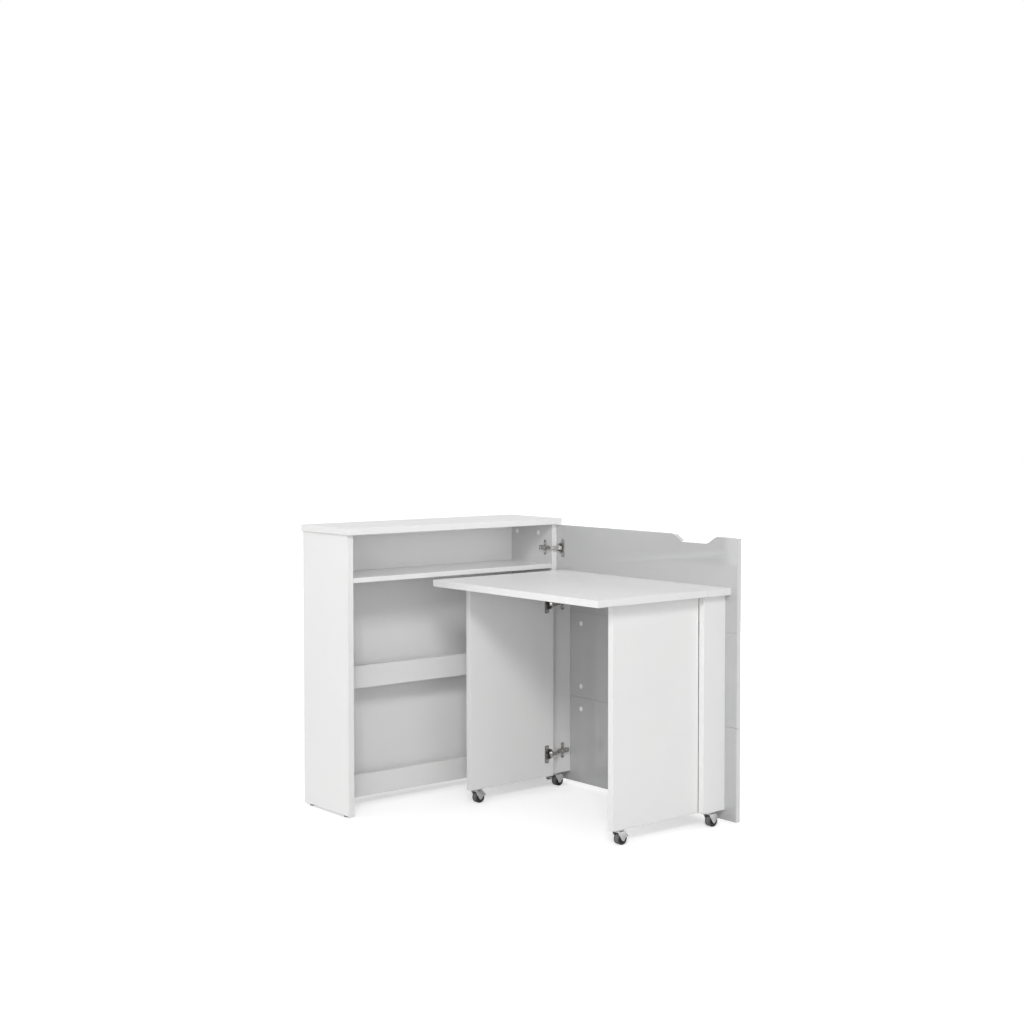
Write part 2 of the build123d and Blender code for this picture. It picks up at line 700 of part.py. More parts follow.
for corner, (x, y) in caster_places.items():
    axle_x = x + caster_trail
    upright = Plane(origin=(axle_x, y, wheel_radius), x_dir=(1, 0, 0), z_dir=(0, -1, 0))

    with BuildPart() as fork:
        for side in (-1, 1):
            with BuildSketch(upright.offset(side * (cheek_inner + cheek_outer) / 2)) as profile:
                with BuildLine():
                    Polyline((-6, -2), (6, -2), (hood_inner - 3, 12), (9, crown_top - wheel_radius),
                             (-caster_trail - 9, crown_top - wheel_radius),
                             (-caster_trail - 9, crown_bottom - wheel_radius - 3), close=True)
                make_face()
                Circle(6.5)
                Circle(axle_radius, mode=Mode.SUBTRACT)
            extrude(profile.sketch, amount=(cheek_outer - cheek_inner) / 2, both=True)
        block(x - 9, axle_x + 9, y - cheek_outer, y + cheek_outer, crown_bottom, crown_top)
        with BuildSketch(upright) as profile:
            Circle(hood_outer)
            Circle(hood_inner, mode=Mode.SUBTRACT)
            with Locations((hood_outer / 2, hood_outer / 2 + 6)):
                Rectangle(hood_outer, hood_outer, mode=Mode.INTERSECT)
        extrude(profile.sketch, amount=cheek_outer, both=True)
        drill((x, y, crown_top), (0, 0, -1), kingpin_radius + fit_gap, crown_top - crown_bottom)
    save(fork, f"{corner}_caster_fork")

    with BuildPart() as axle:
        rod((axle_x, y - cheek_outer, wheel_radius), (0, 1, 0), axle_radius, 2 * cheek_outer)
        for side in (-1, 1):
            rod((axle_x, y + side * cheek_outer, wheel_radius), (0, side, 0), 4, 1)
    save(axle, f"{corner}_caster_axle")

    with BuildPart() as wheel:
        with BuildSketch(upright) as profile:
            Circle(hub_radius)
            Circle(axle_radius + fit_gap, mode=Mode.SUBTRACT)
        extrude(profile.sketch, amount=hub_width / 2, both=True)
    save(wheel, f"{corner}_caster_wheel")

    with BuildPart() as tyre:
        with BuildSketch(upright) as profile:
            Circle(wheel_radius)
            Circle(hub_radius, mode=Mode.SUBTRACT)
        extrude(profile.sketch, amount=wheel_width / 2, both=True)
        outer_edges = tyre.edges().filter_by(GeomType.CIRCLE).group_by(SortBy.RADIUS)[-1]
        fillet(outer_edges, 3)
    save(tyre, f"{corner}_caster_tyre")
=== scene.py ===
# %% [markdown]
# # A cabinet desk with a folding table
#
# The real object is a shallow white cabinet. Its door stands open at a right angle and carries a
# table: a fixed strip, two narrow fins on casters, a hinged leaf, and two leg panels that swing out
# under the leaf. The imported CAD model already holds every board, hinge and caster in its true
# place. This file gives each of them its finish and adds the small things that a plain solid leaves
# out: screw heads, hinge adjusters, wheel webs and treads.

# %% Load the frame
import json
import math

import bmesh
import bpy
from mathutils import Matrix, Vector


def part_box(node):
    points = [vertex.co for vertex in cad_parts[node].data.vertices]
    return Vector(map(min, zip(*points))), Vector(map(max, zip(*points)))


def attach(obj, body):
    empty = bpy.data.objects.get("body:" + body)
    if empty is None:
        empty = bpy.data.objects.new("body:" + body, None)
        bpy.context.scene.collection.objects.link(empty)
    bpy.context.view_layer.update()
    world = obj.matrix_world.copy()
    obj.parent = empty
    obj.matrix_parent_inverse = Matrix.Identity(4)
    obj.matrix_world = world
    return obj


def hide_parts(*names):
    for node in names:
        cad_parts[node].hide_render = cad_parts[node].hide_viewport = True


MM = 0.001

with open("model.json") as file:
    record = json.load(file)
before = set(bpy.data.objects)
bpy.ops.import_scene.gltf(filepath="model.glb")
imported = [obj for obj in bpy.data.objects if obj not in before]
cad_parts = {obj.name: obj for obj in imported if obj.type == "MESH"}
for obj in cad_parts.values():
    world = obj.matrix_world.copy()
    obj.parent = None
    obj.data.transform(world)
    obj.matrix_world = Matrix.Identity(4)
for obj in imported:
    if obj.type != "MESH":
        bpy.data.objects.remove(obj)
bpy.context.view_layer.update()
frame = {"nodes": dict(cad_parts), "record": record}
nodes = frame["nodes"]

# %% [markdown]
# ## Where the camera stands
#
# The camera looks at the open side of the cabinet from its left front, a little above the top. A
# long lens at some five metres keeps the upright edges almost parallel. The small shift moves the
# picture without turning the camera.

# %% Camera
CAMERA_PLACE = (-3.304, -4.102, 1.296)
CAMERA_YAW = math.radians(-40.05)
CAMERA_PITCH = math.radians(87.43)
LENS = 57.04
SHIFT = (-0.0359, -0.0195)

camera_data = bpy.data.cameras.new("camera")
camera_data.lens = LENS
camera_data.shift_x, camera_data.shift_y = SHIFT
camera = bpy.data.objects.new("camera", camera_data)
camera.location = CAMERA_PLACE
camera.rotation_euler = (CAMERA_PITCH, 0, CAMERA_YAW)
bpy.context.scene.collection.objects.link(camera)
bpy.context.scene.camera = camera
print("camera", round(Vector(CAMERA_PLACE).length, 2), "m from the origin")

# %% [markdown]
# ## A white studio
#
# The shapes of white furniture show only by how much light each face gets. Here the sky lights the
# object most from the horizon, and looks plain white itself. Six soft panels around the object give
# every side its own tone, and the gloss boards something to mirror. The floor looks nearly white
# too, so only the contact shadows draw it.

# %% The sky
HORIZON_LIGHT, ZENITH_LIGHT = 1.06, 0.0

scene = bpy.context.scene
scene.view_settings.view_transform = "Standard"


def make_world():
    """A white sky: full white to the eye, and as a light strong at the horizon and weak above."""
    world = bpy.data.worlds.new("studio")
    world.use_nodes = True
    tree = world.node_tree
    tree.nodes.clear()
    output = tree.nodes.new("ShaderNodeOutputWorld")
    seen = tree.nodes.new("ShaderNodeBackground")
    light = tree.nodes.new("ShaderNodeBackground")
    coordinates = tree.nodes.new("ShaderNodeTexCoord")
    axes = tree.nodes.new("ShaderNodeSeparateXYZ")
    strength = tree.nodes.new("ShaderNodeMapRange")
    strength.inputs["To Min"].default_value = HORIZON_LIGHT
    strength.inputs["To Max"].default_value = ZENITH_LIGHT
    tree.links.new(coordinates.outputs["Generated"], axes.inputs[0])
    tree.links.new(axes.outputs["Z"], strength.inputs["Value"])
    tree.links.new(strength.outputs[0], light.inputs["Strength"])
    path, mix = tree.nodes.new("ShaderNodeLightPath"), tree.nodes.new("ShaderNodeMixShader")
    tree.links.new(path.outputs["Is Camera Ray"], mix.inputs[0])
    tree.links.new(light.outputs[0], mix.inputs[1])
    tree.links.new(seen.outputs[0], mix.inputs[2])
    tree.links.new(mix.outputs[0], output.inputs["Surface"])
    for background in (seen, light):
        background.inputs["Color"].default_value = (1, 1, 1, 1)
    scene.world = world


make_world()
print("sky light from", ZENITH_LIGHT, "above to", HORIZON_LIGHT, "at the horizon")

# %% The soft panels
AIM = Vector((0, 0, 0.5))
PANELS = {                                # place, width and height in metres, power in watts
    "key_panel": ((-3.4, -4.0, 3.9), (1.3, 1.3), 136),
    "front_panel": ((-1.4, -6.5, 1.3), (5.0, 2.4), 30),
    "left_panel": ((-5.5, -3.0, 1.5), (3.0, 2.8), 70),
    "back_left_panel": ((-5.0, 3.5, 1.6), (4.0, 3.0), 50),
    "top_panel": ((0, 0, 5.0), (4.0, 4.0), 70),
    "right_panel": ((4.6, 1.6, 2.0), (3.0, 3.0), 55),
}


def light_panel(name, place, size, power):
    """One soft rectangular lamp at a place, turned to the middle of the object."""
    data = bpy.data.lights.new(name, "AREA")
    data.shape = "RECTANGLE"
    data.size, data.size_y = size
    data.energy = power
    lamp = bpy.data.objects.new(name, data)
    lamp.location = place
    lamp.rotation_euler = (AIM - Vector(place)).to_track_quat("-Z", "Y").to_euler()
    scene.collection.objects.link(lamp)


for name, (place, size, power) in PANELS.items():
    light_panel(name, place, size, power)
print("panels:", len(PANELS))

# %% The floor
FLOOR_SIZE = 60.0
FLOOR_BOUNCE, FLOOR_TONE = 0.6, 0.9       # as it lights the object, and as it looks
FLOOR_ROUGHNESS, FLOOR_SPECULAR = 0.6, 0.2
FLOOR_GLOW = (1.0, 6.0, 0.40, 1.0)        # from 1 m to 6 m away, from 0.4 to 1


def make_floor():
    """A wide floor. It lights the object as a mid-grey one would, and looks almost white itself."""
    mesh = bpy.data.meshes.new("floor")
    half = FLOOR_SIZE / 2
    corners = [(-half, -half, 0), (half, -half, 0), (half, half, 0), (-half, half, 0)]
    mesh.from_pydata(corners, [], [(0, 1, 2, 3)])
    floor = bpy.data.objects.new("floor", mesh)
    scene.collection.objects.link(floor)
    material = bpy.data.materials.new("pale_floor")
    material.use_nodes = True
    tree = material.node_tree
    shader = tree.nodes["Principled BSDF"]
    shader.inputs["Roughness"].default_value = FLOOR_ROUGHNESS
    shader.inputs["Specular IOR Level"].default_value = FLOOR_SPECULAR
    shader.inputs["Emission Color"].default_value = (1, 1, 1, 1)
    path = tree.nodes.new("ShaderNodeLightPath")
    away = tree.nodes.new("ShaderNodeVectorMath")
    away.operation = "LENGTH"
    tree.links.new(tree.nodes.new("ShaderNodeTexCoord").outputs["Object"], away.inputs[0])
    reach = tree.nodes.new("ShaderNodeMapRange")
    for socket, value in zip(("From Min", "From Max", "To Min", "To Max"), FLOOR_GLOW):
        reach.inputs[socket].default_value = value
    tree.links.new(away.outputs["Value"], reach.inputs["Value"])
    tone, glow = tree.nodes.new("ShaderNodeMix"), tree.nodes.new("ShaderNodeMath")
    tone.data_type = "RGBA"
    tone.inputs["A"].default_value = (FLOOR_BOUNCE, FLOOR_BOUNCE, FLOOR_BOUNCE, 1)
    tone.inputs["B"].default_value = (FLOOR_TONE, FLOOR_TONE, FLOOR_TONE, 1)
    glow.operation = "MULTIPLY"
    tree.links.new(reach.outputs["Result"], glow.inputs[1])
    tree.links.new(path.outputs["Is Camera Ray"], tone.inputs["Factor"])
    tree.links.new(path.outputs["Is Camera Ray"], glow.inputs[0])
    tree.links.new(tone.outputs["Result"], shader.inputs["Base Color"])
    tree.links.new(glow.outputs[0], shader.inputs["Emission Strength"])
    mesh.materials.append(material)


make_floor()
print("floor:", FLOOR_SIZE, "m wide")

# %% [markdown]
# ## Shader groups: the effects that several finishes share
#
# A laminated board isn't one flat white. Its face has a fine pressed texture, its edging tape meets
# the face in a hair line, and its edges are rubbed a little. Metal shows the direction in which it
# was rolled. Each of these effects is one node group with named inputs, so every finish below
# places it with its own values.

# %% Helpers for node trees
def fill_in(made, values):
    """Sets a node's inputs by name, where an underscore stands for a space; returns the node."""
    for key, value in values.items():
        made.inputs[key.replace("_", " ")].default_value = value
    return made


def add_node(tree, kind, **values):
    """A node with some of its inputs filled in by name."""
    return fill_in(tree.nodes.new(kind), values)


def new_group(name, inputs, outputs):
    """A shader node group with named sockets; returns its tree and its input and output nodes."""
    tree = bpy.data.node_groups.new(name, "ShaderNodeTree")
    for direction, sockets in (("INPUT", inputs), ("OUTPUT", outputs)):
        for socket, kind in sockets.items():
            tree.interface.new_socket(socket, in_out=direction, socket_type=f"NodeSocket{kind}")
    return tree, tree.nodes.new("NodeGroupInput"), tree.nodes.new("NodeGroupOutput")


def place_group(tree, group, **values):
    """Puts a node group into a tree, with its inputs filled in by name."""
    made = tree.nodes.new("ShaderNodeGroup")
    made.node_tree = group
    return fill_in(made, values)


def arithmetic(tree, operation, first, second=None, third=None):
    """A Math node; each operand is a socket or a number."""
    made = tree.nodes.new("ShaderNodeMath")
    made.operation = operation
    for place, operand in enumerate((first, second, third)):
        if operand is None:
            continue
        if isinstance(operand, (int, float)):
            made.inputs[place].default_value = operand
        else:
            tree.links.new(operand, made.inputs[place])
    return made.outputs[0]


def vector_arithmetic(tree, operation, first, second):
    """A Vector Math node on two sockets."""
    made = tree.nodes.new("ShaderNodeVectorMath")
    made.operation = operation
    tree.links.new(first, made.inputs[0])
    tree.links.new(second, made.inputs[1])
    return made.outputs[0]


# %% The pressed texture of a laminate
def make_pressed_texture():
    """Two sizes of soft noise: the texture of the press plate, and its slight cloudiness."""
    tree, entry, result = new_group(
        "pressed_texture", {"Position": "Vector", "Scale": "Float"},
        {"Height": "Float", "Cloud": "Float"})
    fine = add_node(tree, "ShaderNodeTexNoise", Detail=2.0)
    cloud = add_node(tree, "ShaderNodeTexNoise", Scale=7.0, Detail=3.0)
    tree.links.new(entry.outputs["Position"], fine.inputs["Vector"])
    tree.links.new(entry.outputs["Scale"], fine.inputs["Scale"])
    tree.links.new(entry.outputs["Position"], cloud.inputs["Vector"])
    tree.links.new(fine.outputs[0], result.inputs["Height"])
    tree.links.new(cloud.outputs[0], result.inputs["Cloud"])
    return tree


# %% The line of the edging tape, and the rub along the edges
def make_board_edges():
    """Measures how far a point on a board is from the nearest edge of its two broad faces."""
    tree, entry, result = new_group(
        "board_edges",
        {"Position": "Vector", "Low corner": "Vector", "High corner": "Vector",
         "Thin axis": "Vector", "Tape": "Float", "Line": "Float", "Rub width": "Float"},
        {"Seam": "Float", "Rub": "Float"})
    position = entry.outputs["Position"]
    above_low = vector_arithmetic(tree, "SUBTRACT", position, entry.outputs["Low corner"])
    below_high = vector_arithmetic(tree, "SUBTRACT", entry.outputs["High corner"], position)
    nearest = vector_arithmetic(tree, "MINIMUM", above_low, below_high)
    broad = vector_arithmetic(tree, "ADD", nearest, entry.outputs["Thin axis"])
    axes = tree.nodes.new("ShaderNodeSeparateXYZ")
    tree.links.new(broad, axes.inputs[0])
    distance = arithmetic(tree, "MINIMUM", axes.outputs["X"], axes.outputs["Y"])
    distance = arithmetic(tree, "MINIMUM", distance, axes.outputs["Z"])
    off_line = arithmetic(tree, "SUBTRACT", distance, entry.outputs["Tape"])
    off_line = arithmetic(tree, "ABSOLUTE", off_line)
    off_line = arithmetic(tree, "DIVIDE", off_line, entry.outputs["Line"])
    seam = arithmetic(tree, "SUBTRACT", 1.0, off_line)
    tree.links.new(arithmetic(tree, "MAXIMUM", seam, 0.0), result.inputs["Seam"])
    patches = add_node(tree, "ShaderNodeTexNoise", Scale=38.0, Detail=4.0)
    tree.links.new(position, patches.inputs["Vector"])
    edge_share = arithmetic(tree, "DIVIDE", distance, entry.outputs["Rub width"])
    edge_share = arithmetic(tree, "SUBTRACT", 1.0, edge_share)
    edge_share = arithmetic(tree, "MAXIMUM", edge_share, 0.0)
    rub = arithmetic(tree, "MULTIPLY", edge_share, patches.outputs[0])
    tree.links.new(rub, result.inputs["Rub"])
    return tree


# %% The rolled look of steel
def make_rolled_steel():
    """Noise stretched along one axis, as rolling and plating leave it, and small cloudy stains."""
    tree, entry, result = new_group(
        "rolled_steel", {"Position": "Vector", "Stretch": "Vector", "Scale": "Float"},
        {"Streaks": "Float", "Stains": "Float"})
    position = entry.outputs["Position"]
    stretched = vector_arithmetic(tree, "MULTIPLY", position, entry.outputs["Stretch"])
    streaks = add_node(tree, "ShaderNodeTexNoise", Detail=3.0)
    stains = add_node(tree, "ShaderNodeTexNoise", Scale=160.0, Detail=4.0, Roughness=0.6)
    tree.links.new(stretched, streaks.inputs["Vector"])
    tree.links.new(entry.outputs["Scale"], streaks.inputs["Scale"])
    tree.links.new(position, stains.inputs["Vector"])
    tree.links.new(streaks.outputs[0], result.inputs["Streaks"])
    tree.links.new(stains.outputs[0], result.inputs["Stains"])
    return tree


pressed_texture = make_pressed_texture()
board_edges = make_board_edges()
rolled_steel = make_rolled_steel()
print("shader groups:", [group.name for group in bpy.data.node_groups])

# %% [markdown]
# ## Finishes
#
# Most boards wear a satin white laminate. The door's inner face has a high-gloss one whose darker
# grey is painted shade, and it mirrors the legs and the cabinet. The back panel and the inside of
# the right side panel are gloss too, and the inside of the right side panel is painted a darker
# grey as painted shade. A board with a painted-shade inner face keeps a white outer one, so its
# material holds both colours. Every board gets its own material, because the edging line is
# measured from that board's own corners.

# %% A material to start from
def start_material(name):
    """An empty Principled material, returned with its tree, its shader and its position socket."""
    material = bpy.data.materials.new(name)
    material.use_nodes = True
    tree = material.node_tree
    shader = tree.nodes["Principled BSDF"]
    position = tree.nodes.new("ShaderNodeTexCoord").outputs["Object"]
    return material, tree, shader, position


def mixed_colour(tree, mask, first, second):
    """A colour mix by a mask socket; the first colour may be a socket too."""
    mix = tree.nodes.new("ShaderNodeMix")
    mix.data_type = "RGBA"
    tree.links.new(mask, mix.inputs["Factor"])
    if isinstance(first, tuple):
        mix.inputs["A"].default_value = (*first, 1)
    else:
        tree.links.new(first, mix.inputs["A"])
    mix.inputs["B"].default_value = (*second, 1)
    return mix.outputs["Result"]


NOISE_LOW, NOISE_HIGH = 0.3, 0.7          # where most values of a noise lie


def ranged(tree, value, low, high):
    """A noise value spread from low to high."""
    spread = add_node(tree, "ShaderNodeMapRange", From_Min=NOISE_LOW, From_Max=NOISE_HIGH,
                      To_Min=low, To_Max=high)
    tree.links.new(value, spread.inputs["Value"])
    return spread.outputs[0]


def bump_into(tree, shader, height, depth):
    """Feeds a height through a Bump node into the shader's normal; the depth is in metres."""
    bump = add_node(tree, "ShaderNodeBump", Strength=1.0, Distance=depth)
    tree.links.new(height, bump.inputs["Height"])
    tree.links.new(bump.outputs[0], shader.inputs["Normal"])


# %% White laminate, satin or gloss
TAPE_THICKNESS = 1.0 * MM
SEAM_WIDTH, SEAM_SHARE, SEAM_COLOUR = 0.25 * MM, 0.45, (0.35, 0.35, 0.34)
RUB_WIDTH, RUB_SHARE, RUB_COLOUR = 4.0 * MM, 0.25, (0.62, 0.62, 0.60)
RUB_ROUGHNESS = 0.2                       # added where the edge is rubbed
COAT_ROUGHNESS = 0.03
SKIN_THICKNESS = 0.6 * MM

laminates = {
    "white_board": dict(
        white=(0.84, 0.84, 0.835), cloud=(0.825, 0.827, 0.825), texture=1400.0, depth=0.02 * MM,
        roughness=(0.30, 0.38), ior=1.5, coat=0.0),
    # The door's inner face: its grey white and cloud tones are painted shade; its outer faces stay
    # white.
    "gloss_white_board": dict(
        white=(0.475, 0.475, 0.478), cloud=(0.462, 0.464, 0.468), texture=14.0, depth=0.25 * MM,
        roughness=(0.04, 0.07), ior=1.6, coat=0.6, outside=(0.76, 0.76, 0.76)),
    "gloss_back": dict(
        white=(0.88, 0.88, 0.88), cloud=(0.865, 0.867, 0.87), texture=14.0, depth=0.25 * MM,
        roughness=(0.06, 0.10), ior=1.5, coat=0.0),
    # The inside of the right side panel: its darker grey is painted shade; its outer faces stay
    # white.
    "gloss_side": dict(
        white=(0.60, 0.60, 0.602), cloud=(0.585, 0.587, 0.59), texture=14.0, depth=0.25 * MM,
        roughness=(0.06, 0.10), ior=1.5, coat=0.4, outside=(0.83, 0.83, 0.825)),
}


def laminate(name, corners, white, cloud, texture, depth, roughness, ior, coat, outside=None):
    """White laminate for one board, with the line of its edging tape and a slight rub on its edges.
    A colour for the outside covers all but the board's left face, which is the inner one."""
    material, tree, shader, position = start_material(name)
    low, high = corners
    size = high - low
    thin = min(range(3), key=lambda axis: size[axis])
    surface = place_group(tree, pressed_texture, Scale=texture)
    edges = place_group(tree, board_edges, Low_corner=low, High_corner=high,
                        Thin_axis=[float(axis == thin) for axis in range(3)],
                        Tape=TAPE_THICKNESS, Line=SEAM_WIDTH, Rub_width=RUB_WIDTH)
    for group in (surface, edges):
        tree.links.new(position, group.inputs["Position"])
    colour = mixed_colour(tree, ranged(tree, surface.outputs["Cloud"], 0, 1), white, cloud)
    # Where an outside colour is given, the darker inner-face tone is painted shade.
    if outside:
        axes = tree.nodes.new("ShaderNodeSeparateXYZ")
        tree.links.new(position, axes.inputs[0])
        inner_face = low.x + SKIN_THICKNESS
        past_inner_face = arithmetic(tree, "GREATER_THAN", axes.outputs["X"], inner_face)
        colour = mixed_colour(tree, past_inner_face, colour, outside)
    for mask, share, tint in (("Rub", RUB_SHARE, RUB_COLOUR), ("Seam", SEAM_SHARE, SEAM_COLOUR)):
        visible = arithmetic(tree, "MULTIPLY", edges.outputs[mask], share)
        colour = mixed_colour(tree, visible, colour, tint)
    tree.links.new(colour, shader.inputs["Base Color"])
    rough = ranged(tree, surface.outputs["Cloud"], *roughness)
    rough = arithmetic(tree, "MULTIPLY_ADD", edges.outputs["Rub"], RUB_ROUGHNESS, rough)
    tree.links.new(rough, shader.inputs["Roughness"])
    shader.inputs["IOR"].default_value = ior
    shader.inputs["Coat Weight"].default_value = coat
    shader.inputs["Coat Roughness"].default_value = COAT_ROUGHNESS
    bump_into(tree, shader, surface.outputs["Height"], depth)
    return material


# %% Plated steel
STREAK_SCALE, STREAK_DEPTH = 900.0, 0.008 * MM


def steel(name, colour, stain, roughness, stretch):
    """Plated pressed steel: streaks vary the polish, stains the colour."""
    material, tree, shader, position = start_material(name)
    surface = place_group(tree, rolled_steel, Stretch=stretch, Scale=STREAK_SCALE)
    tree.links.new(position, surface.inputs["Position"])
    tint = mixed_colour(tree, ranged(tree, surface.outputs["Stains"], 0, 1), colour, stain)
    tree.links.new(tint, shader.inputs["Base Color"])
    tree.links.new(ranged(tree, surface.outputs["Streaks"], *roughness), shader.inputs["Roughness"])
    shader.inputs["Metallic"].default_value = 1.0
    bump_into(tree, shader, surface.outputs["Streaks"], STREAK_DEPTH)
    return material


# %% Moulded plastic and rubber
def moulded(name, colour, speck, roughness, grain, depth):
    """Moulded plastic or rubber, with the fine spark texture that its mould leaves."""
    material, tree, shader, position = start_material(name)
    surface = place_group(tree, pressed_texture, Scale=grain)
    tree.links.new(position, surface.inputs["Position"])
    tint = mixed_colour(tree, ranged(tree, surface.outputs["Height"], 0, 1), colour, speck)
    tree.links.new(tint, shader.inputs["Base Color"])
    tree.links.new(ranged(tree, surface.outputs["Height"], *roughness), shader.inputs["Roughness"])
    bump_into(tree, shader, surface.outputs["Height"], depth)
    return material


# %% Beech, for the dowels inside the joints
def beech(name):
    """Pale wood with its grain along the dowel."""
    material, tree, shader, position = start_material(name)
    grain = add_node(tree, "ShaderNodeTexWave", Scale=180.0, Distortion=6.0, Detail=3.0)
    tree.links.new(position, grain.inputs["Vector"])
    tint = mixed_colour(tree, grain.outputs["Fac"], (0.62, 0.45, 0.28), (0.74, 0.58, 0.40))
    tree.links.new(tint, shader.inputs["Base Color"])
    shader.inputs["Roughness"].default_value = 0.65
    bump_into(tree, shader, grain.outputs["Fac"], 0.05 * MM)
    return material


# %% One finish for each slot of the record, and two more
evenly, along_z, along_x = (1.0, 1.0, 1.0), (1.0, 1.0, 0.08), (0.08, 1.0, 1.0)
looks = {
    "dowel_wood": beech("beech"),
    "white_plastic": moulded("white_cap_plastic", (0.86, 0.86, 0.85), (0.80, 0.80, 0.79),
                             (0.30, 0.42), 2500.0, 0.01 * MM),
    "glide_plastic": moulded("glide_plastic", (0.30, 0.30, 0.30), (0.24, 0.24, 0.24),
                             (0.4, 0.55), 1800.0, 0.02 * MM),
    "zinc_casting": steel("zinc_casting", (0.55, 0.56, 0.57), (0.44, 0.45, 0.46),
                          (0.38, 0.55), evenly),
    # Nickel plate in a darker grey than bare nickel: its own tone plus painted shade for the shaded
    # hinges.
    "nickel_steel": steel("nickel_plate", (0.47, 0.455, 0.44), (0.43, 0.415, 0.40),
                          (0.24, 0.30), along_z),
    "screw_steel": steel("screw_plating", (0.72, 0.71, 0.69), (0.64, 0.63, 0.61),
                         (0.24, 0.36), evenly),
    "caster_steel": steel("bright_zinc", (0.84, 0.84, 0.85), (0.76, 0.765, 0.775),
                          (0.26, 0.40), along_x),
    "wheel_plastic": moulded("hub_nylon", (0.035, 0.035, 0.036), (0.05, 0.05, 0.05),
                             (0.35, 0.5), 1600.0, 0.02 * MM),
    "tyre_rubber": moulded("tread_rubber", (0.13, 0.13, 0.135), (0.18, 0.18, 0.18),
                           (0.5, 0.7), 900.0, 0.05 * MM),
}
# Caps inside the carcass: a mid grey in place of the caps' white, as painted shade.
painted_shade_cap = moulded("carcass_cap_painted_shade", (0.58, 0.58, 0.58), (0.55, 0.55, 0.55),
                     (0.30, 0.42), 2500.0, 0.01 * MM)
sidewall = moulded("sidewall_rubber", (0.02, 0.02, 0.021), (0.035, 0.035, 0.036),
                   (0.45, 0.6), 1200.0, 0.03 * MM)
print("shared finishes:", len(looks) + 2)

# %% Dress every CAD node
# The inside of the right side panel takes the darker grey of painted shade.
GLOSS_INSIDE = {"back_panel": "gloss_back", "right_side_panel": "gloss_side"}


def dress(node_name, slot):
    """The finish of one CAD node: boards get their own laminate, the rest share one material."""
    if slot not in laminates:
        return looks[slot]
    values = laminates[GLOSS_INSIDE.get(node_name, slot)]
    return laminate(f"{node_name}_laminate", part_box(node_name), **values)


slots = {row["node"]: row["material_slot"] for row in frame["record"]["subparts"]}
for node_name, slot in slots.items():
    mesh = nodes[node_name].data
    mesh.materials.clear()
    mesh.materials.append(dress(node_name, slot))
print("materials:", len(bpy.data.materials))

# %% [markdown]
# ## Finding the places of repeated fasteners
#
# The CAD model keeps identical fasteners in one node, as a group of separate solids. Each solid is
# one island of that node's mesh, so the box of every island tells where its fastener stands.
# Nothing has to be measured twice.

# %% Merged copies and islands of a CAD node
WELD_DISTANCE = 0.001 * MM
FLAT_ANGLE = math.radians(0.5)


def merged_copy(node_name):
    """A bmesh of a CAD node with its loose triangles welded and its flat faces made whole."""
    work = bmesh.new()
    work.from_mesh(nodes[node_name].data)
    bmesh.ops.remove_doubles(work, verts=work.verts, dist=WELD_DISTANCE)
    bmesh.ops.dissolve_limit(work, angle_limit=FLAT_ANGLE, verts=work.verts, edges=work.edges)
    return work


def islands(node_name):
    """The low and high corner of every separate solid in a CAD node."""
    work = merged_copy(node_name)
    waiting, boxes = set(work.verts), []
    while waiting:
        front, island = [waiting.pop()], []
        while front:
            vertex = front.pop()
            island.append(vertex.co.copy())
            for edge in vertex.link_edges:
                other = edge.other_vert(vertex)
                if other in waiting:
                    waiting.remove(other)
                    front.append(other)
        boxes.append((Vector(map(min, zip(*island))), Vector(map(max, zip(*island)))))
    work.free()
    return sorted(boxes, key=lambda box: tuple(round(value, 4) for value in box[0]))


door_screws, leg_screws = islands("door_hinge_screws"), islands("leg_hinge_screws")
print("screws found:", len(door_screws), "on the cabinet,", len(leg_screws), "on the fins")

# %% A finished piece
def finished_piece(name, mesh, body, slot, replaced=()):
    """Puts a mesh into the scene as a piece: it rides on its body and may stand for CAD nodes."""
    piece = bpy.data.objects.new(name, mesh)
    scene.collection.objects.link(piece)
    if not mesh.materials:
        mesh.materials.append(looks[slot])
    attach(piece, body)
    if replaced:
        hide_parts(*replaced)


body_of = {node: body for body, held in frame["record"]["behaviour"]["bodies"].items()
           for node in held}
print("bodies:", len(set(body_of.values())))

# %% [markdown]
# ## Geometry Nodes: one tree for each kind of repeated piece
#
# A tree builds one sample, sets it on every seat and turns it outwards. A seat is a vertex that
# carries the direction "outwards". The sizes are named inputs, so a hinge screw and a caster screw
# come from the same tree.

# %% Helpers for geometry trees
def new_piece_tree(name, sizes):
    """A geometry tree with seats, sizes and a finish as its inputs."""
    tree = bpy.data.node_groups.new(name, "GeometryNodeTree")
    tree.is_modifier = True
    tree.interface.new_socket("Seats", in_out="INPUT", socket_type="NodeSocketGeometry")
    for socket, value in sizes.items():
        kind = "NodeSocketInt" if isinstance(value, int) else "NodeSocketFloat"
        tree.interface.new_socket(socket, in_out="INPUT", socket_type=kind).default_value = value
    tree.interface.new_socket("Finish", in_out="INPUT", socket_type="NodeSocketMaterial")
    tree.interface.new_socket("Pieces", in_out="OUTPUT", socket_type="NodeSocketGeometry")
    return tree, tree.nodes.new("NodeGroupInput").outputs


def geometry_node(tree, kind, settings=None, **inputs):
    """A geometry node; an input is a number, a vector or a socket."""
    made = tree.nodes.new(kind)
    for key, value in (settings or {}).items():
        setattr(made, key, value)
    for key, value in inputs.items():
        socket = made.inputs[key.replace("_", " ")]
        if isinstance(value, bpy.types.NodeSocket):
            tree.links.new(value, socket)
        else:
            socket.default_value = value
    return made


def shape(tree, kind, settings=None, **inputs):
    """The first output of a geometry node, named without its usual prefix."""
    return geometry_node(tree, f"GeometryNode{kind}", settings, **inputs).outputs[0]


